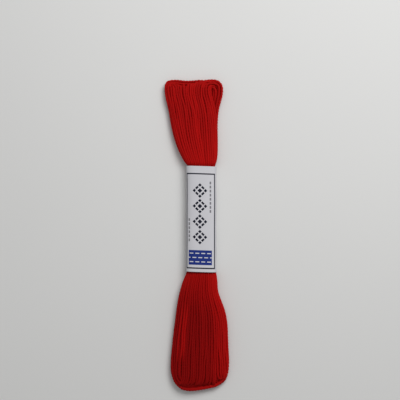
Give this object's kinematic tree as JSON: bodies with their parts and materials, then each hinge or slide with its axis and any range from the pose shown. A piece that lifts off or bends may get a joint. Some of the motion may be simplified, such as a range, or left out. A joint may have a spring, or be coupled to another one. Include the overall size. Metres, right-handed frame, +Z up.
{
  "type": "skein of sashiko thread with a paper band",
  "caption": "Red cotton embroidery thread wound into a flat loop with a broad square end and a rounder end, drawn in at the waist by a plain paper band.",
  "frame": {"origin": "on the surface that the skein lies on, under the middle of its outline", "axes": "+Z up out of the face, +Y along the skein towards its squarer end, +X across the face to the right"},
  "size_m": [0.0357, 0.1697, 0.009],
  "materials": {
    "thread": "matte twisted cotton, deep red",
    "paper": "uncoated off-white paper with a thin dark frame line"
  },
  "bodies": {
    "root": {"thread_skein": "thread", "paper_band": "paper"}
  },
  "joints": []
}
